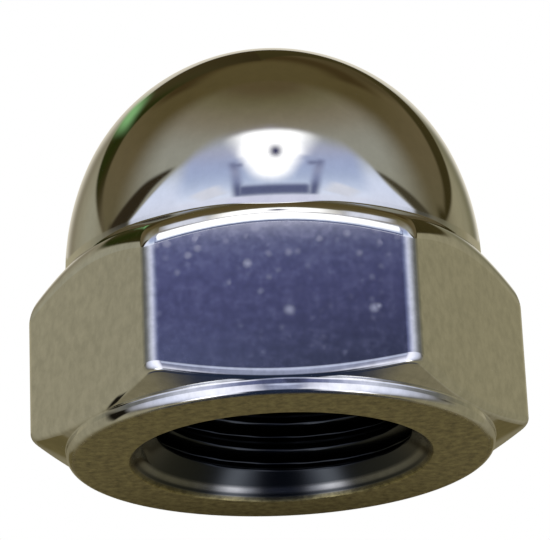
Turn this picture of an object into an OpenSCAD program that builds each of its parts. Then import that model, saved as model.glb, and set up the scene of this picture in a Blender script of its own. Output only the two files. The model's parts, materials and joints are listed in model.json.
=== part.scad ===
// Domed cap nut, one solid of plated steel.
// It stands on its bearing face: the origin is the centre of that face and
// +Z runs along the thread axis to the crown of the dome.
// Two of the six flats face -Y and +Y. All sizes are in millimetres.

/* [Hexagon] */
// Width across two opposite flats
across_flats = 19; // [17:0.5:24]
// Height of the shoulder, where the foot of the dome meets it
shoulder_h = 8.4; // [7:0.1:12]
// Radius on the six upright edges
edge_round = 0.9; // [0.2:0.1:1.5]
// Slope of the turned shoulder under the dome, from level
shoulder_slope = 33; // [20:1:45]
// Radius at the outer end of the shoulder
shoulder_round = 1.6; // [0.3:0.1:2]
// Slope of the turned chamfer at the foot of the hexagon, from level
foot_slope = 21; // [12:1:35]
// Radius at the outer end of that chamfer
foot_round = 0.6; // [0.2:0.1:1]

/* [Bearing face] */
// Step in from the flats to the rim of the bearing face
bearing_inset = 0.2; // [0.1:0.05:0.6]
// Height of the raised bearing face
bearing_h = 0.6; // [0.4:0.1:1.2]
// Radius on the rim of the bearing face
bearing_round = 0.4; // [0.1:0.05:0.4]

/* [Dome] */
// Step in from the flats to the side of the dome
dome_inset = 0.3; // [0.2:0.05:2]
// Height of the straight side between the shoulder and the first arc
dome_side_h = 0.2; // [0.1:0.1:4]
// Radius of the dome's side arc, beyond the dome's own radius
side_arc_more = 2.6; // [0.3:0.1:4]
// Radius of the dome's crown, short of the dome's own radius
crown_arc_less = 0.2; // [0.1:0.05:2]
// Metal left between the drill point and the crown
crown_wall = 2.6; // [1.5:0.1:5]

/* [Thread] */
// Thread diameter
thread_d = 12; // [8:0.5:13]
// Thread pitch
thread_pitch = 1.25; // [0.75:0.25:1.75]
// Width of the lead-in cone at the mouth, beyond the thread on each side
lead_in = 0.6; // [0.3:0.1:1]
// Included angle of the lead-in cone
lead_in_angle = 90; // [60:5:120]
// Plain drilled length between the thread and the drill point
runout = 1.8; // [0.5:0.1:3]
// Included angle of the drill point
drill_angle = 118; // [90:2:140]

/* [Hidden] */
$fn = 96;

// Overlap that keeps joined shapes from meeting in a bare edge
lap = 1;
// Hair by which the outer rounds and the crown stand proud of what they join
proud = 0.002;

flat_r = across_flats / 2;
corner_r = flat_r / cos(30);
bearing_r = flat_r - bearing_inset;

// The dome's section is two arcs, tangent where the slope of the normal is
// join_angle: the side arc, centred at side_z, then the crown on the axis
dome_r = flat_r - dome_inset;
side_r = dome_r + side_arc_more;
crown_r = dome_r - crown_arc_less;
join_angle = acos(side_arc_more / (side_r - crown_r));
side_z = shoulder_h + dome_side_h;
join_z = side_z + side_r * sin(join_angle);
crown_z = side_z + (side_r - crown_r) * sin(join_angle);
nut_h = crown_z + crown_r;

thread_r = thread_d / 2;
pilot_r = (thread_d - thread_pitch) / 2;
mouth_r = thread_r + lead_in;
lead_in_h = lead_in / tan(lead_in_angle / 2);
drill_tip_h = pilot_r / tan(drill_angle / 2);
drill_end_z = nut_h - crown_wall - drill_tip_h;
thread_end_z = drill_end_z - runout;

// Outer ends of the two turned slopes, at the sharp corners of the hexagon
shoulder_end_z = shoulder_h - (corner_r - dome_r) * tan(shoulder_slope);
foot_end_z = bearing_h + (corner_r - bearing_r) * tan(foot_slope);

// Section of the turned envelope, to the right of the axis: bearing face,
// foot chamfer, outer wall and shoulder, with a disc in each rounded edge
module envelope_section() {
    rim_c = [bearing_r - bearing_round, bearing_round];
    foot_c = [
        corner_r - foot_round,
        foot_end_z + foot_round * tan((90 - foot_slope) / 2)
    ];
    top_c = [
        corner_r - shoulder_round,
        shoulder_end_z - shoulder_round * tan((90 - shoulder_slope) / 2)
    ];

    // The shoulder is carried on inwards, under the dome
    inner_r = dome_r - lap;
    inner_z = shoulder_h + lap * tan(shoulder_slope);

    polygon([
        [0, 0],
        [rim_c.x, 0],
        [bearing_r, rim_c.y],
        [bearing_r, bearing_h],
        foot_c + foot_round * [sin(foot_slope), -cos(foot_slope)],
        [corner_r, foot_c.y],
        [corner_r, top_c.y],
        top_c + shoulder_round * [sin(shoulder_slope), cos(shoulder_slope)],
        [inner_r, inner_z],
        [0, inner_z]
    ]);
    translate(rim_c) circle(r = bearing_round);
    translate(foot_c) circle(r = foot_round + proud);
    translate(top_c) circle(r = shoulder_round + proud);
}

// Hexagon with round corners: a disc at each corner, a bar across each pair
// of flats and a hexagon through the centres of the discs
module hexagon_section() {
    disc_r = corner_r - edge_round / cos(30);
    circle(r = disc_r, $fn = 6);
    for (a = [0:60:300])
        rotate(a) {
            translate([disc_r, 0]) circle(r = edge_round + proud);
            square([disc_r, 2 * flat_r], center = true);
        }
}

module hexagon() {
    intersection() {
        linear_extrude(shoulder_h + lap) hexagon_section();
        rotate_extrude() envelope_section();
    }
}

// Straight side, side arc and crown, started low enough to join the hexagon
module dome() {
    rotate_extrude() {
        translate([0, shoulder_h - lap]) square([dome_r, dome_side_h + lap]);
        intersection() {
            translate([dome_r - side_r, side_z]) circle(r = side_r);
            translate([0, side_z]) square([dome_r + lap, join_z - side_z]);
        }
        intersection() {
            translate([0, crown_z]) circle(r = crown_r + proud);
            translate([0, crown_z]) square(dome_r + lap);
        }
    }
}

// Lead-in cone, thread bore, plain pilot bore and drill point
module blind_bore() {
    lead_h = lead_in_h + lap;
    lead_r = mouth_r + lap * tan(lead_in_angle / 2);
    translate([0, 0, -lap]) cylinder(r1 = lead_r, r2 = thread_r, h = lead_h);
    translate([0, 0, -lap]) cylinder(r = thread_r, h = thread_end_z + lap);
    cylinder(r = pilot_r, h = drill_end_z);
    translate([0, 0, drill_end_z]) cylinder(r1 = pilot_r, r2 = 0, h = drill_tip_h);
}

module cap_nut() {
    color("silver")
    difference() {
        union() {
            hexagon();
            dome();
        }
        blind_bore();
    }
}

cap_nut();
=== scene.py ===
"""Domed cap nut of chromed steel, standing on its bearing face."""
import json
import math

import bpy
import numpy as np
from mathutils import Matrix, Vector


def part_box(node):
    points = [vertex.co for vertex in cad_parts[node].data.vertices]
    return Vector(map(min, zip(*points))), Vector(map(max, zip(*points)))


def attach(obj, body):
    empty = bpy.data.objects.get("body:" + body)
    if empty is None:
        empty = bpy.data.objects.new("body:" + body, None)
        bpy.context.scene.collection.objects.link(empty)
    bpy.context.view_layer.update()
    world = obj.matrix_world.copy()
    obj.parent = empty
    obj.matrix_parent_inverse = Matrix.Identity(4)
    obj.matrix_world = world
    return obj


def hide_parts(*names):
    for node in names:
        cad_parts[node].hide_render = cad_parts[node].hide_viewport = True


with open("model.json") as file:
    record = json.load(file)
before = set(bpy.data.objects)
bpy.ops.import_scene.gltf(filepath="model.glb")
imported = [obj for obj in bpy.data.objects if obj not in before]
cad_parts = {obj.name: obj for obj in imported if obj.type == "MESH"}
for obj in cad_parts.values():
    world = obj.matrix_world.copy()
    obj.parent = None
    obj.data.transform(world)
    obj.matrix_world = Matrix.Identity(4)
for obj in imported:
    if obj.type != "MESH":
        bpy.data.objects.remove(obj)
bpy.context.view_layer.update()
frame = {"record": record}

LOW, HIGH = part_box("cap_nut")
THREAD = next(m for m in frame["record"]["mounts"] if m["name"] == "thread")

# ---------------------------------------------------------------- sizes of the nut, in metres
MM = 0.001
HAIR = 0.001 * MM  # how far the skin stays inside the solid's box

FLAT_R = (HIGH[1] - LOW[1]) / 2 - HAIR
CORNER_R = FLAT_R / math.cos(math.pi / 6)
EDGE_ROUND = 0.9 * MM

BEARING_R = FLAT_R - 0.2 * MM
BEARING_H = 0.6 * MM
BEARING_ROUND = 0.4 * MM
FOOT_RISE = math.radians(21)
FOOT_ROUND = 0.46 * MM

DOME_R = FLAT_R - 0.3 * MM
SHOULDER_H = 8.4 * MM
SHOULDER_FALL = math.radians(33)
SHOULDER_ROUND = 1.6 * MM
SIDE_ARC_R = DOME_R + 2.6 * MM
CROWN_R = DOME_R - 0.2 * MM
FILLET = 0.08 * MM

DOME_JOIN = math.acos((SIDE_ARC_R - DOME_R) / (SIDE_ARC_R - CROWN_R))
SIDE_Z = SHOULDER_H + 0.2 * MM
NUT_H = SIDE_Z + (SIDE_ARC_R - CROWN_R) * math.sin(DOME_JOIN) + CROWN_R

THREAD_R = THREAD["dims"]["r_mm"] * MM
PITCH = 1.25 * MM
LEAD_IN = 0.6 * MM
MOUTH_R = THREAD_R + LEAD_IN
MOUTH_Z = 0.03 * MM
THREAD_END = LEAD_IN + THREAD["dims"]["length_mm"] * MM
PILOT_R = THREAD_R - PITCH / 2
RUNOUT = 1.8 * MM
DRILL_ANGLE = math.radians(118)
DRILL_ROUND = 0.15 * MM
DRILL_END = THREAD_END + RUNOUT
DRILL_TIP = DRILL_END + PILOT_R / math.tan(DRILL_ANGLE / 2)


# ---------------------------------------------------------------- the nut's surface
def hexagon_outline(arc_steps=12, flat_steps=26):
    """The hexagon's columns: angle round the axis, radius, and the way the wall faces.

    A corner is an arc of EDGE_ROUND that turns evenly through 60 degrees. A flat is a straight line,
    evenly stepped from one arc to the next. Both are complex numbers x + iy, turned to each sixth.
    """
    turn = np.linspace(-math.pi / 6, math.pi / 6, arc_steps + 1)
    corner = CORNER_R - EDGE_ROUND / math.cos(math.pi / 6) + EDGE_ROUND * np.exp(1j * turn)
    sixth = np.exp(1j * math.pi / 3)
    along = np.arange(1, flat_steps) / flat_steps
    flat = corner[-1] + (corner[0] * sixth - corner[-1]) * along
    side = np.concatenate([corner, flat])
    facing = np.concatenate([turn, np.full(len(flat), math.pi / 6)])
    points = np.concatenate([side * sixth**k for k in range(6)])
    facing = np.concatenate([facing + k * math.pi / 3 for k in range(6)])
    return np.unwrap(np.angle(points)), np.abs(points), facing


def rounded_chain(corners, radii, steps):
    """A line through the corners, in the half plane of r and z, with a tangent arc in each inner corner.

    With turn the angle by which the line bends, an arc of radius a starts a * tan(turn / 2) before its
    corner, and the line's heading then turns evenly. The solid lies on the line's left, so the outward
    normal is the heading turned right. A row that repeats the one before it is left out. Gives points
    and normals, each (rows, 2, columns).
    """
    points, normals = [], []
    for before, corner, after, radius, count in zip(corners, corners[1:], corners[2:], radii, steps):
        heading_in = np.arctan2(corner[1] - before[1], corner[0] - before[0])
        heading_out = np.arctan2(after[1] - corner[1], after[0] - corner[0])
        turn = (heading_out - heading_in + math.pi) % (2 * math.pi) - math.pi
        start = radius * np.abs(np.tan(turn / 2))
        side = np.sign(turn) * radius
        centre_r = corner[0] - start * np.cos(heading_in) - side * np.sin(heading_in)
        centre_z = corner[1] - start * np.sin(heading_in) + side * np.cos(heading_in)
        heading = heading_in + turn * np.linspace(0, 1, count + 1)[:, None]
        normal = np.stack([np.sin(heading), -np.cos(heading)], axis=1)
        points.append(np.stack([centre_r, centre_z]) + side * normal)
        normals.append(normal)
    points, normals = np.concatenate(points), np.concatenate(normals)
    fresh = np.append(True, np.abs(np.diff(points, axis=0)).max(axis=(1, 2)) > 1e-6 * MM)
    return points[fresh], normals[fresh]


def turned_slope(wall_r, neck_r, neck_z, slope, radius, side):
    """The sharp corner at the wall and the neck's height for a slope turned round the hexagon.

    The slope leaves the neck at neck_z and is rounded into the wall. Where the wall is so near the neck
    that the whole turn doesn't fit, the arc keeps its radius and centre and stops at the neck: with
    lean the angle by which its last normal stands off level, cos(lean) = 1 - room / radius.
    """
    full = math.pi / 2 - slope
    room = wall_r - neck_r - FILLET / 2
    lean = np.arccos(np.maximum(1 - room / radius, math.cos(full)))
    centre_z = neck_z + side * ((wall_r - neck_r) * math.tan(slope) + radius * math.tan(full / 2))
    corner_z = centre_z - side * radius * np.tan(lean / 2)
    return corner_z, corner_z - side * (wall_r - neck_r) / np.tan(lean)


CROWN_STEPS = 32


def outer_chain(wall_r):
    """The outside in each half plane, from the lead-in cone over the bearing face to the crown.

    The dome is two arcs, SIDE_ARC_R up from its foot and CROWN_R centred on the axis. They are tangent
    where the normal rises by join, with cos(join) = (SIDE_ARC_R - DOME_R) / (SIDE_ARC_R - CROWN_R).
    """
    def ring(r, z):
        return np.stack([wall_r * 0 + r, wall_r * 0 + z])

    foot_z, neck_z = turned_slope(wall_r, BEARING_R, BEARING_H, FOOT_RISE, FOOT_ROUND, 1)
    shoulder_z, dome_z = turned_slope(wall_r, DOME_R, SHOULDER_H, SHOULDER_FALL, SHOULDER_ROUND, -1)
    to_crown = CROWN_R * math.tan((math.pi / 2 - DOME_JOIN) / 2)
    corners = [
        ring(MOUTH_R - LEAD_IN / 2, LEAD_IN / 2),
        ring(MOUTH_R, 0),
        ring(BEARING_R, 0),
        ring(BEARING_R, neck_z),
        ring(wall_r, foot_z),
        ring(wall_r, shoulder_z),
        ring(DOME_R, dome_z),
        ring(DOME_R, SIDE_Z + SIDE_ARC_R * math.tan(DOME_JOIN / 2)),
        ring(to_crown, NUT_H),
        ring(0, NUT_H),
    ]
    radii = [FILLET, BEARING_ROUND, FILLET, FOOT_ROUND, SHOULDER_ROUND, FILLET, SIDE_ARC_R, CROWN_R]
    steps = [4, 8, 4, 8, 12, 4, 24, CROWN_STEPS]
    return rounded_chain(corners, radii, steps)


def eased_step(t, ease):
    """A ramp from 0 to 1 while t runs from 0 to 1, with both ends eased, and its slope."""
    low, high = np.hypot(t, ease), np.hypot(t - 1, ease)
    return (low - high + 1) / 2, (t / low - (t - 1) / high) / 2


def thread_wall(z, angle, ease=0.07):
    """Radius of the threaded wall, and its slopes along z and round the axis.

    The groove's phase is z / pitch - angle / 2 pi, a right-hand helix. From the root, an eighth of the
    pitch wide, the flank rises at 30 degrees to the crest, a quarter wide. The lead-in cone cuts the
    crests off at the mouth: the wall is the larger of the two radii, eased where they cross. Towards
    the blind end the groove runs out into the tap drill's hole.
    """
    root, crest = 1 / 8, 1 / 4
    flank = (1 - root - crest) / 2
    phase = z / PITCH - angle / (2 * math.pi)
    offset = (phase + 0.5) % 1 - 0.5
    rise, slope = eased_step((np.abs(offset) - root / 2) / flank, ease)
    depth = 5 / 8 * math.cos(math.pi / 6) * PITCH
    groove = THREAD_R - depth * rise
    groove_phase = -depth * slope / flank * np.sign(offset)

    full, full_slope = eased_step((THREAD_END - z) / PITCH, ease)
    r = PILOT_R + (groove - PILOT_R) * full
    r_z = groove_phase / PITCH * full - (groove - PILOT_R) * full_slope / PITCH
    r_angle = -groove_phase / (2 * math.pi) * full

    cone = MOUTH_R - z
    gap, soft = (r - cone) / 2, 0.03 * MM
    reach = np.hypot(gap, soft)
    share = (1 + gap / reach) / 2
    return (r + cone) / 2 + reach, r_z * share - (1 - share), r_angle * share


def nut_surface():
    """The whole skin, from the drill's point through the thread and over the outside to the crown.

    Its two parameters are the place along the section, one row each, and the angle round the axis, one
    column each. A normal is (r n_r, -(r' n_r + z' n_z), r n_z) along the radius, round the axis and up,
    where n is the section's normal and r' and z' are the slopes round the axis. The outside's slopes
    are its change with the wall's radius, over a tiny step, times the wall's own slope.
    """
    angle, wall_r, facing = hexagon_outline()
    wall_slope = wall_r * np.tan(angle - facing)
    level = np.zeros_like(wall_r)

    near_tip = 0.02
    drill, drill_n = rounded_chain(
        [np.stack([level + PILOT_R * near_tip, level + DRILL_TIP - (DRILL_TIP - DRILL_END) * near_tip]),
         np.stack([level + PILOT_R, level + DRILL_END]),
         np.stack([level + PILOT_R, level + THREAD_END])],
        [DRILL_ROUND], [6])

    rows_a_turn = 20
    rows = int(rows_a_turn * THREAD_END / PITCH)
    z = np.linspace(THREAD_END, MOUTH_Z, rows)[:, None] + level
    r, r_z, r_angle = thread_wall(z, angle)
    thread = np.stack([r, z], axis=1)
    thread_n = np.stack([-np.ones_like(r), r_z], axis=1) / np.hypot(1, r_z)[:, None]

    tiny = 1e-4 * MM
    outer, outer_n = outer_chain(wall_r)
    outer, outer_n = outer[:-1], outer_n[:-1]
    outer_slope = (outer_chain(wall_r + tiny)[0][:-1] - outer) / tiny * wall_slope

    points = np.concatenate([drill, thread, outer])
    section_n = np.concatenate([drill_n, thread_n, outer_n])
    thread_slope = np.stack([r_angle, np.zeros_like(r)], axis=1)
    slopes = np.concatenate([np.zeros_like(drill), thread_slope, outer_slope])

    r, z = points[:, 0], points[:, 1]
    along_r = r * section_n[:, 0]
    around = -(slopes * section_n).sum(axis=1)
    up = r * section_n[:, 1]
    c, s = np.cos(angle), np.sin(angle)
    grid = np.stack([r * c, r * s, z], axis=2)
    normals = np.stack([along_r * c - around * s, along_r * s + around * c, up], axis=2)
    return grid, normals / np.linalg.norm(normals, axis=2, keepdims=True)


def closed_skin(name, grid, normals, first_pole, last_pole):
    """A closed mesh from a grid of rows and columns, with its normals kept as worked out.

    The columns join up round the axis, and each end row closes in a fan on its pole.
    """
    rows, columns, _ = grid.shape
    index = np.arange(rows * columns).reshape(rows, columns)
    beside = np.roll(index, -1, axis=1)
    quads = np.stack([index[:-1], index[1:], beside[1:], beside[:-1]], axis=2).reshape(-1, 4)
    first, last = rows * columns, rows * columns + 1
    cap = np.stack([index[0] * 0 + first, index[0], beside[0]], axis=1)
    lid = np.stack([index[-1] * 0 + last, beside[-1], index[-1]], axis=1)
    faces = [face for part in (quads, cap, lid) for face in part[:, ::-1].tolist()]

    mesh = bpy.data.meshes.new(name)
    points = np.concatenate([grid.reshape(-1, 3), [first_pole], [last_pole]])
    mesh.from_pydata(points.tolist(), [], faces)
    mesh.polygons.foreach_set("use_smooth", np.ones(len(mesh.polygons), bool))
    ends = [[0, 0, -1], [0, 0, 1]]
    mesh.normals_split_custom_set_from_vertices(np.concatenate([normals.reshape(-1, 3), ends]).tolist())
    mesh.validate()
    piece = bpy.data.objects.new(name, mesh)
    bpy.context.scene.collection.objects.link(piece)
    return piece


# ---------------------------------------------------------------- ramps
def above(x, edge, width):
    """0 below the edge and 1 above it, with a smooth ramp of this width between."""
    t = np.clip((x - edge) / width + 0.5, 0, 1)
    return t * t * (3 - 2 * t)


def near(x, centre, half, soft):
    """1 within half of the centre, and 0 beyond, with a ramp of the soft width."""
    return 1 - above(np.abs(x - centre), half, soft)


# ---------------------------------------------------------------- finishes
def node(tree, kind, links=(), **values):
    """A new node. Links name an input and the output that feeds it; values are sockets or settings."""
    new = tree.nodes.new("ShaderNode" + kind)
    for name, value in values.items():
        if hasattr(new, name):
            setattr(new, name, value)
        else:
            new.inputs[name.replace("_", " ")].default_value = value
    for place, output in dict(links).items():
        tree.links.new(output, new.inputs[place])
    return new


def combine(tree, operation, a, b):
    """Two outputs put through one operation, such as MULTIPLY."""
    return node(tree, "Math", {0: a, 1: b}, operation=operation).outputs[0]


def spread(tree, value, low, high, **ends):
    """The value's run from low to high turned into 0 to 1, or To_Min to To_Max, and level beyond."""
    return node(tree, "MapRange", {"Value": value}, From_Min=low, From_Max=high, **ends).outputs[0]


def mix(tree, fac, a, b):
    """The colour a where fac is 0 and b where it is 1. Each is an output or three plain values."""
    new = tree.nodes.new("ShaderNodeMix")
    new.data_type = "RGBA"
    sockets = [i for i in new.inputs if i.type == "RGBA"]
    tree.links.new(fac, new.inputs[0])
    for socket, value in zip(sockets, (a, b)):
        if isinstance(value, tuple):
            socket.default_value = (*value, 1)
        else:
            tree.links.new(value, socket)
    return [o for o in new.outputs if o.type == "RGBA"][0]


def ramp(tree, fac, stops):
    """A ramp of greys fed by one output, from its stops of a place and a grey."""
    new = node(tree, "ValToRGB", {"Fac": fac})
    line = new.color_ramp.elements
    while len(line) < len(stops):
        line.new(1)
    for element, (place, grey) in zip(line, stops):
        element.position = place
        element.color = (grey, grey, grey, 1)
    return new.outputs["Color"]


def dust(tree, where, scale, share, size, cover):
    """Round specks, one in a cell at most: the share of cells that has one, their size and cover."""
    cells = node(tree, "TexVoronoi", {"Vector": where}, Scale=scale)
    pick = node(tree, "SeparateColor", {"Color": cells.outputs["Color"]}).outputs["Red"]
    pick = spread(tree, pick, 1 - share, 1, To_Max=cover)
    return combine(tree, "MULTIPLY", pick, spread(tree, cells.outputs["Distance"], size, 0))


def mark(tree, where, x, z, size):
    """One speck on the front flat, at x and z and this many mm in radius."""
    far = node(tree, "VectorMath", {0: where}, operation="DISTANCE")
    far.inputs[1].default_value = (x * MM, -FLAT_R, z * MM)
    return spread(tree, far.outputs["Value"], size * MM, 0)


def nut_finish():
    """Bright chrome with a few specks of dust, a turned bearing face and a thread darkened by painted
    shade.

    Below the dome the chrome is hazier, and a thin, cloudy film of dust thickens towards the foot. Two
    attributes say how far a point belongs to the turned face, whose brown is painted reflection, and to
    the threaded hole's painted shade.
    """
    material = bpy.data.materials.new("bright_chrome")
    material.use_nodes = True
    tree = material.node_tree
    bsdf = tree.nodes["Principled BSDF"]
    where = node(tree, "TexCoord").outputs["Object"]
    height = node(tree, "SeparateXYZ", {0: where}).outputs["Z"]
    # How far a point lies in the threaded hole's painted shade.
    bore = node(tree, "Attribute", attribute_name="bore").outputs["Fac"]
    turned = node(tree, "Attribute", attribute_name="turned").outputs["Fac"]

    haze_top, haze_full, film_full = 8.2 * MM, 7.6 * MM, 2 * MM
    low = spread(tree, height, haze_top, haze_full)
    cloud = node(tree, "TexNoise", {"Vector": where}, Scale=1900, Detail=3, Roughness=0.6).outputs["Fac"]
    film = spread(tree, cloud, 0.44, 0.72, To_Max=0.26)
    film = combine(tree, "MULTIPLY", film, spread(tree, height, haze_full, film_full, To_Min=0.1))
    speck = combine(tree, "MAXIMUM", dust(tree, where, 2400, 0.5, 0.55, 0.55), film)
    speck = combine(tree, "MULTIPLY", speck, low)
    for x, z, size in ((0.3, 3.46, 0.34), (3.77, 3.43, 0.32), (3.95, 3.5, 0.2), (-1.34, 5.53, 0.24)):
        speck = combine(tree, "MAXIMUM", speck, mark(tree, where, x, z, size))

    tone = ramp(tree, cloud, [(0.3, 0), (0.7, 1)])
    bright = mix(tree, tone, (0.53, 0.536, 0.534), (0.57, 0.576, 0.574))
    hazy = mix(tree, tone, (0.49, 0.496, 0.494), (0.615, 0.621, 0.619))
    plate = mix(tree, low, bright, hazy)
    plate = mix(tree, speck, plate, (0.62, 0.62, 0.64))
    grain = node(tree, "TexNoise", {"Vector": where}, Scale=2600, Detail=5, Roughness=0.7).outputs["Fac"]
    grain = ramp(tree, grain, [(0.32, 0), (0.68, 1)])
    # The face's own grain. Its brown is a painted reflection of the khaki surroundings in shade.
    face = mix(tree, grain, (0.11, 0.09, 0.03), (0.41, 0.36, 0.17))
    colour = mix(tree, turned, plate, face)
    # Painted shade: the threaded hole is near black.
    colour = mix(tree, bore, colour, (0.024, 0.027, 0.03))
    tree.links.new(colour, bsdf.inputs["Base Color"])

    rough = mix(tree, speck, (0.045, 0.045, 0.045), (0.23, 0.23, 0.23))
    rough = mix(tree, turned, rough, (0.38, 0.38, 0.38))
    rough = mix(tree, bore, rough, (0.2, 0.2, 0.2))
    tree.links.new(rough, bsdf.inputs["Roughness"])
    bsdf.inputs["Metallic"].default_value = 1
    return material


def finish_masks(grid):
    """How far each point lies in the threaded hole's painted shade and in the turned face, from 0 to 1.

    The painted shade deepens in two ramps from the mouth's bright edge up, with a paler line a little
    above them. The turned face's tone, its grain in a brown that is painted reflection, reaches a short
    way into the mouth. The crown's rows lie within the mouth's radius too and take no painted shade.
    """
    radius, height = np.hypot(grid[..., 0], grid[..., 1]), grid[..., 2]
    inside = (radius < MOUTH_R - 0.01 * MM) & (height < DRILL_TIP)
    inside[-CROWN_STEPS:] = False
    # Painted shade in the threaded hole, deepening in two ramps from the mouth up.
    edge = 0.65 * above(height, 0.03 * MM, 0.04 * MM) + 0.35 * above(height, 0.17 * MM, 0.1 * MM)
    # A paler line a little above the ramps, where the painted shade is lighter.
    paler_line = 0.22 * near(height, 0.42 * MM, 0.1 * MM, 0.12 * MM)
    face_edge = np.where(radius < MOUTH_R, 0.2 * MM, 0.04 * MM)
    turned = (1 - above(height, face_edge, 0.1 * MM)) * (radius < BEARING_R)
    return inside * (edge - paler_line), turned


# ---------------------------------------------------------------- studio light
CHROME = np.array([0.55, 0.556, 0.554])
TENT_R = 1.5


def glow(red, green, blue):
    """The light that chrome gives back as this colour, of 0 to 255."""
    v = np.array([red, green, blue]) / 255
    return np.where(v > 0.04045, ((v + 0.055) / 1.055) ** 2.4, v / 12.92) / CHROME


def curve(x, *stops):
    """A smooth run through stops of a place and a value, level beyond its ends.

    A cubic piece joins each stop to the next, and the slope at a stop comes from its two neighbours.
    """
    at = np.array([place for place, _ in stops], float)
    value = np.array([v for _, v in stops], float)
    slope = np.gradient(value, at, axis=0)
    i = np.clip(np.searchsorted(at, x, side="right") - 1, 0, len(at) - 2)
    step = at[i + 1] - at[i]
    t = np.clip((x - at[i]) / step, 0, 1)
    if value.ndim == 2:
        t, step = t[..., None], step[..., None]
    start = value[i] * (1 + 2 * t) + slope[i] * step * t
    end = value[i + 1] * (3 - 2 * t) + slope[i + 1] * step * (t - 1)
    return np.maximum(start * (1 - t) ** 2 + end * t ** 2, 0)


def fade(x, *stops):
    """A colour that runs smoothly through stops of a place and a colour."""
    return curve(x, *((place, glow(*colour)) for place, colour in stops))


def lay(under, colour, cover):
    """The colour laid over what is under it, where the cover is more than 0."""
    return under + (colour - under) * cover[..., None]


def khaki_room(az, el):
    """The walls and ceiling from the shoulder's level up, with a dark arc down each side of the back."""
    side = np.abs(az)
    front = fade(el, (22, (136, 134, 118)), (48, (136, 134, 122)), (57, (122, 115, 98)),
                 (70, (100, 93, 68)), (80, (84, 73, 49)), (90, (82, 71, 45)))
    flank = fade(el, (22, (90, 83, 60)), (40, (90, 80, 56)), (57, (80, 70, 43)), (80, (80, 70, 42)))
    light = lay(front, flank, above(side, 86, 34))
    light = lay(light, glow(57, 46, 24), above(side, 128, 14) * near(el, 60, 5.5, 9))
    light = lay(light, glow(66, 57, 35), above(side, 140, 14) * near(el, 50, 5, 9))

    left = az < 0
    foot = np.where(
        left,
        curve(side, (100, 16), (107, 21), (120, 28.4), (135, 34), (150, 38.6), (165, 42), (180, 41)),
        curve(side, (104, 19), (120, 25.8), (135, 31.6), (150, 37.4), (165, 40.5), (180, 41)))
    head = np.where(
        left,
        curve(side, (105, 21), (112, 27.5), (120, 34.5), (135, 53), (150, 61), (165, 64), (180, 65)),
        curve(side, (110, 24.3), (120, 31.8), (135, 42.6), (150, 46.4), (163, 48), (180, 65)))
    dark = np.where(
        left[..., None],
        fade(side, (110, (84, 76, 56)), (120, (55, 49, 29)), (135, (33, 38, 11)), (150, (50, 46, 24)),
             (180, (46, 38, 20))),
        glow(50, 44, 22))
    light = lay(light, dark, above(side, 103, 6) * above(el, foot, 2) * (1 - above(el, head, 4)))

    back = np.where(
        left[..., None],
        fade(side, (105, (121, 115, 94)), (120, (138, 135, 116)), (140, (128, 123, 103)),
             (150, (116, 110, 92)), (165, (166, 161, 146)), (180, (176, 171, 157))),
        fade(side, (105, (92, 86, 64)), (120, (131, 125, 100)), (135, (127, 122, 98)),
             (150, (110, 107, 88)), (162, (172, 168, 154)), (180, (176, 171, 157))))
    light = lay(light, back, (1 - above(el, foot, 2)) * above(side, 106, 6))

    middle = curve(az, (-100, 20), (-88, 25.2), (-72, 33.9), (-58, 39.4))
    half = curve(az, (-100, 3), (-80, 4), (-72, 2.2), (-62, 0.6))
    light = lay(light, glow(43, 36, 24), near(el, middle, half, 2.2) * near(az, -82, 20, 6))
    middle = curve(az, (60, 35), (72, 29.6), (80, 25.8), (95, 20))
    half = curve(az, (60, 0.4), (72, 1.6), (82, 2.4), (92, 2))
    return lay(light, glow(62, 57, 42), near(el, middle, half, 2) * near(az, 79.5, 16.5, 7))


def pale_window(az, el):
    """The light of a big window over the front, with a bright lamp and a blue tray, and its cover."""
    side, left = np.abs(az), az < 0
    light = fade(el, (21.4, (212, 215, 230)), (24, (208, 216, 235)), (26, (194, 204, 226)),
                 (30, (170, 182, 209)), (38, (154, 164, 194)), (43, (157, 162, 184)),
                 (49, (156, 160, 170)), (56, (150, 146, 160)))
    outer = fade(el, (21.4, (206, 211, 228)), (30, (202, 210, 230)), (36, (178, 184, 196)),
                 (42, (150, 154, 158)))
    light = lay(light, outer, above(side, 54, 12))
    top = np.where(
        left,
        curve(side, (0, 55), (28, 51), (40, 48), (50, 43), (60, 36.8), (70, 30.2), (82, 23.2), (88, 20.5)),
        curve(side, (0, 55), (28, 50), (40, 46.5), (50, 43), (60, 36.5), (66, 30.5), (80, 22.8),
              (86, 20.5)))
    soft = curve(side, (0, 7), (30, 9), (50, 9), (60, 4.5), (70, 1.4))
    cover = (1 - above(el, top, soft)) * (side < 95)

    lobe = 1 - above(np.hypot((az + 0.5) / 18, (el - 43.5) / 8.8), 1, 0.6)
    neck = near(az, -0.5, curve(el, (28, 6), (33, 10), (38, 15)), 14) * near(el, 37, 6.5, 7)
    light = lay(light, glow(255, 255, 255) * 1.3, np.maximum(lobe, neck))

    half = np.where(left, curve(el, (22, 18.8), (34, 21.4), (40, 24)),
                    curve(el, (22, 21), (33, 26), (38, 29)))
    rails = near(side, half, 2.7, 5) * (1 - above(el, 38.5, 2.8)) * above(el, 22.6, 1.6)
    lips = near(side, 22.5 + 0.1 * az, 3.5, 4) * near(el, 37, 1, 2.2)
    tray = near(az, 0.5, 20, 6) * near(el, 25, 2.4, 2.4)
    blue = fade(el, (23, (92, 98, 128)), (26, (86, 92, 124)), (30, (124, 132, 164)), (34, (138, 144, 172)),
                (37, (112, 118, 148)))
    return lay(light, blue, np.maximum.reduce([rails, lips, tray])), cover


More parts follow.
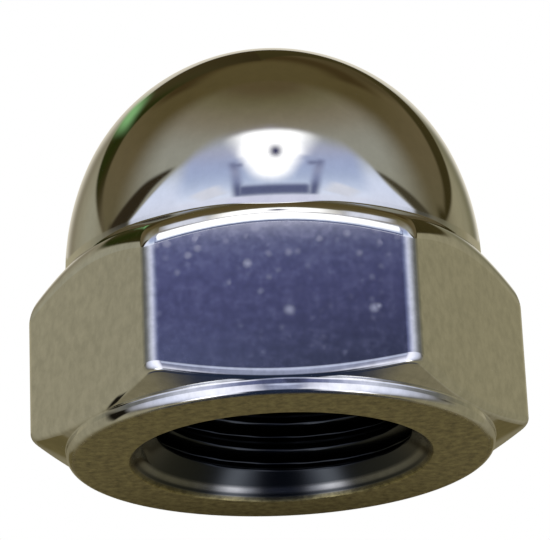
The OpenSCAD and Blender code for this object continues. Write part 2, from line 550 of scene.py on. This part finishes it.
def low_half(az, el):
    """The light from below the shoulder's level: a wide pale front, a blue band, and a dark floor."""
    side = np.abs(az)
    light = fade(side, (0, (110, 114, 138)), (8, (130, 134, 156)), (16, (205, 207, 224)),
                 (46, (238, 241, 254)), (60, (212, 217, 236)), (78, (162, 164, 174)),
                 (88, (108, 107, 104)), (98, (122, 118, 100)), (110, (134, 129, 108)),
                 (130, (133, 128, 106)), (150, (112, 106, 84)), (180, (108, 102, 80)))
    slit = fade(el, (-30, (134, 140, 164)), (14, (130, 136, 158)), (18.5, (60, 65, 88)),
                (21.4, (76, 77, 117)))
    light = lay(light, slit, near(az, 2, curve(el, (-26, 9), (-16, 3), (-10, 4), (-3, 9)), 10))
    band = fade(side, (8, (80, 85, 122)), (18, (94, 100, 134)), (28, (138, 144, 172)),
                (40, (184, 188, 210)), (52, (180, 184, 198)), (64, (144, 147, 156)),
                (76, (110, 111, 112)), (90, (94, 95, 90)), (100, (108, 105, 92)),
                (113, (122, 119, 100)), (122, (134, 129, 107)), (180, (130, 126, 104)))
    navy = fade(el, (18.5, (56, 61, 85)), (20.5, (72, 75, 114)), (21.4, (76, 82, 122)))
    corner = (1 - above(az, 1, 4)) * (1 - above(el, 19.3, 1.2))
    navy = navy * (1.05 - 0.22 * above(az, 2, 6) + 0.6 * corner)[..., None]
    band = lay(band, navy, near(side, 0, 12, 8))
    light = lay(light, band, above(el, 16, 4))
    light = lay(light, light * (0.84, 0.83, 0.75), near(az, 117, 16, 8))
    light = lay(light, glow(30, 26, 15), near(side, 94, 3, 14) * near(el, 4, 6, 16))
    light = lay(light, glow(40, 46, 62), above(side, 128, 16) * (1 - above(el, -53, 7)))
    light = lay(light, glow(250, 250, 255) * 2.6, near(side, 70, 17, 20) * near(el, -64, 4, 7))
    return lay(light, glow(30, 38, 56), 1 - above(el, -58 - 14 * above(side, 36, 30), 14))


def studio_light(az, el):
    """The light that comes from each azimuth and elevation, in degrees: 0, 0 is the front."""
    light = khaki_room(az, el)
    light = lay(light, *pale_window(az, el))
    light = lay(light, glow(212, 213, 234), near(az, 0, 24, 8) * near(el, 21.95, 0.35, 0.5))
    return lay(light, low_half(az, el), 1 - above(el, 21.52, 0.24))


def lit_sheet(name, grid, light, cover):
    """A sheet of light that only the chrome sees, from the sheet's back, which faces the nut.

    Each point has its own colour and its own cover.
    """
    rows, columns, _ = grid.shape
    index = np.arange(rows * columns).reshape(rows, columns)
    quads = np.stack([index[:-1, :-1], index[:-1, 1:], index[1:, 1:], index[1:, :-1]], axis=2)
    mesh = bpy.data.meshes.new(name)
    mesh.from_pydata(grid.reshape(-1, 3).tolist(), [], quads.reshape(-1, 4).tolist())
    colour = mesh.attributes.new("light", "FLOAT_COLOR", "POINT")
    colour.data.foreach_set("color", np.dstack([light, cover]).astype(np.float32).ravel())

    material = bpy.data.materials.new(name)
    material.use_nodes = True
    material.cycles.emission_sampling = "NONE"
    tree = material.node_tree
    tree.nodes.remove(tree.nodes["Principled BSDF"])
    shade = node(tree, "Attribute", attribute_name="light")
    glowing = node(tree, "Emission", {"Color": shade.outputs["Color"]}).outputs[0]
    clear = node(tree, "BsdfTransparent").outputs[0]
    back = node(tree, "NewGeometry").outputs["Backfacing"]
    share = combine(tree, "MULTIPLY", shade.outputs["Alpha"], back)
    both = node(tree, "MixShader", {0: share, 1: clear, 2: glowing}).outputs[0]
    tree.links.new(both, tree.nodes["Material Output"].inputs["Surface"])
    mesh.materials.append(material)

    sheet = bpy.data.objects.new(name, mesh)
    bpy.context.scene.collection.objects.link(sheet)
    for ray in ("camera", "diffuse", "transmission", "volume_scatter", "shadow"):
        setattr(sheet, "visible_" + ray, False)


def light_tent():
    """A sphere round the nut, TENT_R away: each point is at its azimuth and elevation, in degrees.

    The rows of elevation are closest where the light changes most.
    """
    rows = ((-90, 18, 2), (18, 21, 0.25), (21, 22.5, 0.1), (22.5, 30, 0.3), (30, 56, 0.5), (56, 91, 2))
    heights = np.concatenate([np.arange(*row) for row in rows])
    az, el = np.meshgrid(np.arange(-180, 181, 1.0), heights)
    turn, rise = np.radians(az), np.radians(el)
    out = np.cos(rise)
    grid = TENT_R * np.stack([out * np.sin(turn), -out * np.cos(turn), np.sin(rise)], axis=2)
    lit_sheet("light_tent", grid, studio_light(az, el), np.ones_like(az))


def near_card(name, centre, across, rise, colour, fades):
    """A flat card close to the nut, from its centre and two half sides in mm.

    With u and v the place on the card, from -1 to 1, the cover is the product of two ramps that fall
    to 0 at the edges over the shares of the half sides that fades gives.
    """
    line = np.linspace(-1, 1, 33)
    v, u = np.meshgrid(line, line, indexing="ij")
    grid = MM * (np.array(centre) + u[..., None] * np.array(across) + v[..., None] * np.array(rise))
    cover = near(u, 0, 1 - fades[0] / 2, fades[0]) * near(v, 0, 1 - fades[1] / 2, fades[1])
    lit_sheet(name, grid, np.broadcast_to(colour, grid.shape), cover)


def lamp(name, place, size, power):
    """A soft square lamp that points at the nut."""
    light = bpy.data.lights.new(name, "AREA")
    light.size, light.energy = size, power
    holder = bpy.data.objects.new(name, light)
    aim = Vector((0, 0, NUT_H / 2)) - Vector(place)
    holder.matrix_world = Matrix.Translation(place) @ aim.to_track_quat("-Z", "Y").to_matrix().to_4x4()
    holder.visible_glossy = False
    bpy.context.scene.collection.objects.link(holder)


def pale_floor():
    """A flat square just under the bearing face, clear from below and clear towards its edge."""
    half, fade_start = 0.6, 0.1
    z = -0.03 * MM
    corners = [(-half, -half, z), (half, -half, z), (half, half, z), (-half, half, z)]
    mesh = bpy.data.meshes.new("floor")
    mesh.from_pydata(corners, [], [(0, 1, 2, 3)])
    material = bpy.data.materials.new("pale_floor")
    material.use_nodes = True
    tree = material.node_tree
    bsdf = tree.nodes["Principled BSDF"]
    bsdf.inputs["Base Color"].default_value = (0.8, 0.8, 0.79, 1)
    bsdf.inputs["Roughness"].default_value = 0.9
    where = node(tree, "TexCoord").outputs["Object"]
    away = node(tree, "VectorMath", {0: where}, operation="LENGTH").outputs["Value"]
    edge = ramp(tree, away, [(fade_start, 0), (half * 0.98, 1)])
    under = node(tree, "NewGeometry").outputs["Backfacing"]
    hidden = combine(tree, "MAXIMUM", edge, under)
    clear = node(tree, "BsdfTransparent").outputs[0]
    both = node(tree, "MixShader", {0: hidden, 1: bsdf.outputs[0], 2: clear}).outputs[0]
    tree.links.new(both, tree.nodes["Material Output"].inputs["Surface"])
    mesh.materials.append(material)
    floor = bpy.data.objects.new("floor", mesh)
    bpy.context.scene.collection.objects.link(floor)
    floor.visible_glossy = False
    floor.visible_shadow = False


def white_room():
    """A world that is white where it is seen and in reflections, and lights the scene more plainly."""
    world = bpy.data.worlds.new("white_room")
    bpy.context.scene.world = world
    world.use_nodes = True
    tree = world.node_tree
    path = node(tree, "LightPath").outputs
    seen = combine(tree, "MAXIMUM", path["Is Camera Ray"], path["Is Glossy Ray"])
    seen = combine(tree, "MAXIMUM", seen, path["Is Transmission Ray"])
    sky = tree.nodes["Background"].inputs
    tree.links.new(spread(tree, seen, 0, 1, To_Min=0.55), sky["Strength"])
    sky["Color"].default_value = (1, 1, 1, 1)


# ---------------------------------------------------------------- camera
def set_camera():
    """A long lens, about 20 degrees below the level of the foot, that looks up at the bearing face.

    The distance and the two shifts of the aim are in corner radii. The focal length is in the same
    unit as the image's width.
    """
    azimuth, elevation, roll = (math.radians(v) for v in (-1.711, -20.46, -2.43))
    distance, aside, drop = 12.0, 0.0259, -0.7467
    focal, image_width, sensor_width = 3041.9, 550, 36
    level = math.cos(elevation)
    back = Vector((math.sin(azimuth) * level, -math.cos(azimuth) * level, math.sin(elevation)))
    right = Vector((0, 0, 1)).cross(back).normalized()
    up = back.cross(right)
    c, s = math.cos(roll), math.sin(roll)
    right, up = right * c + up * s, up * c - right * s
    camera = bpy.data.cameras.new("camera")
    camera.lens = focal * sensor_width / image_width
    camera.clip_start = 0.01
    holder = bpy.data.objects.new("camera", camera)
    place = (right * -aside - up * drop + back * distance) * CORNER_R
    holder.matrix_world = Matrix.Translation(place) @ Matrix((right, up, back)).transposed().to_4x4()
    bpy.context.scene.collection.objects.link(holder)
    bpy.context.scene.camera = holder


def near_cards():
    """What lies close to the nut: a white band and its wings, a dark dot, a green patch and a dark foot."""
    # Each card is a sheet of light that only the chrome sees, so it shows as a painted reflection. The dark
    # dot, the foot cards, the rim card and the dark card show as painted shade.
    white, grey, olive = glow(255, 255, 255) * 1.3, glow(205, 208, 220), glow(84, 76, 48)
    sides = (("left", -1), ("right", 1))
    near_card("band_card", (0, -14.1, 16.7), (5.1, 0, 0), (0, 2.3, -0.2), white, (0.7, 0.4))
    for side, sign in sides:
        near_card(side + "_wing_card", (4.2 * sign, -10.6, 10), (1.5, 0, 0), (0, 0.85, 0), grey, (0.6, 0.5))
    near_card("lens_dot", (0.2, -12.65, 14.1), (0.95, 0, 0), (0, 0.65, 0.65), glow(50, 50, 85), (1, 1))
    near_card("green_card", (-13.2, 8.2, 27.5), (-4.3, -1.7, -1.07), (-1.95, -4.4, 1.3),
              glow(112, 156, 102), (0.9, 0.95))
    for side, sign in sides:
        near_card(side + "_foot_card", (11.5 * sign, 5.5, -1.15), (-1.9, 0, 0), (0, 0, 1.4), olive,
                  (0.6, 0.3))
    near_card("rim_card", (-7.4, -6.2, 0.15), (0, -0.7, 0), (0, 0, 0.5), glow(20, 17, 12), (0.6, 0.5))
    near_card("dark_card", (0, 13, -1.4), (-11, 0, 0), (0, 0, 1.4), glow(38, 30, 14), (0.4, 0.7))


set_camera()
white_room()
pale_floor()
light_tent()
near_cards()
lamp("key_lamp", (-0.25, -0.3, 0.45), 0.3, 4.0)

grid, normals = nut_surface()
nut = closed_skin("domed_nut", grid, normals, (0, 0, DRILL_TIP), (0, 0, NUT_H))
nut.data.materials.append(nut_finish())
# Point attributes: the threaded hole's painted shade, and where the turned face lies.
bore, turned = finish_masks(grid)
for name, values, poles in (("bore", bore, [1, 0]), ("turned", turned, [0, 0])):
    attribute = nut.data.attributes.new(name, "FLOAT", "POINT")
    attribute.data.foreach_set("value", np.append(values.ravel(), poles).astype(np.float32))
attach(nut, "root")
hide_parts("cap_nut")

bpy.context.scene.view_settings.view_transform = "Standard"
